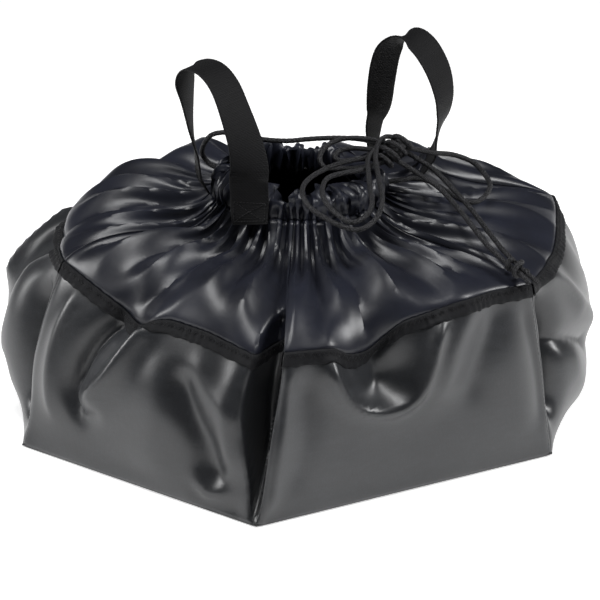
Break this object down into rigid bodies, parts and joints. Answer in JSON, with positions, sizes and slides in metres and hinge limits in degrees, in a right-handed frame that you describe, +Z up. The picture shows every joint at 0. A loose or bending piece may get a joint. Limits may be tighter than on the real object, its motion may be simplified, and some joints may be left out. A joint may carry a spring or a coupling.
{
  "type": "drawstring bag",
  "caption": "Soft hexagonal-base drawstring bag with coated fabric walls, thin gathered nylon collar, corded neck tied in a bow and webbing loop handles.",
  "frame": {"origin": "middle of the base panel's underside, on the floor", "axes": "+Z up out of the mouth, -Y towards the front corner of the hexagonal base, +X to the right"},
  "size_m": [0.5854, 0.5833, 0.3686],
  "materials": {
    "coated_tarpaulin": "semi-gloss coated",
    "nylon": "glossy woven nylon",
    "binding_tape": "ribbed grosgrain",
    "webbing": "ribbed weave",
    "braided_cord": "braided, lighter flecks",
    "blackened_metal": "black oxide"
  },
  "bodies": {
    "root": {"base_panel": "coated_tarpaulin", "wall_front_right": "coated_tarpaulin", "wall_right": "coated_tarpaulin", "wall_rear_right": "coated_tarpaulin", "wall_rear_left": "coated_tarpaulin", "wall_left": "coated_tarpaulin", "wall_front_left": "coated_tarpaulin", "collar_front_right": "nylon", "collar_right": "nylon", "collar_rear_right": "nylon", "collar_rear_left": "nylon", "collar_left": "nylon", "collar_front_left": "nylon", "tape_front_right": "binding_tape", "tape_right": "binding_tape", "tape_rear_right": "binding_tape", "tape_rear_left": "binding_tape", "tape_left": "binding_tape", "tape_front_left": "binding_tape", "cord_channel": "nylon", "neck_ruffle": "nylon", "eyelet_left": "blackened_metal", "eyelet_right": "blackened_metal", "draw_cord": "braided_cord", "cord_left_run": "braided_cord", "cord_right_run": "braided_cord", "bow_loops": "braided_cord", "cord_tails": "braided_cord", "bow_knot": "braided_cord", "end_knot": "braided_cord", "handle_left_ends": "webbing", "handle_right_ends": "webbing"},
    "handle_left": {"handle_left_loop": "webbing"},
    "handle_right": {"handle_right_loop": "webbing"}
  },
  "joints": [
    {"name": "handle_left_swing", "type": "hinge", "parent": "root", "child": "handle_left", "pos_m": [-0.0325, -0.099, 0.252], "axis": [0.617, -0.787, 0], "range_deg": [-45, 55], "stiffness_Nm_per_rad": 0.06},
    {"name": "handle_right_swing", "type": "hinge", "parent": "root", "child": "handle_right", "pos_m": [0.075, 0.078, 0.252], "axis": [-0.9736, 0.2282, 0], "range_deg": [-45, 75], "stiffness_Nm_per_rad": 0.06}
  ]
}
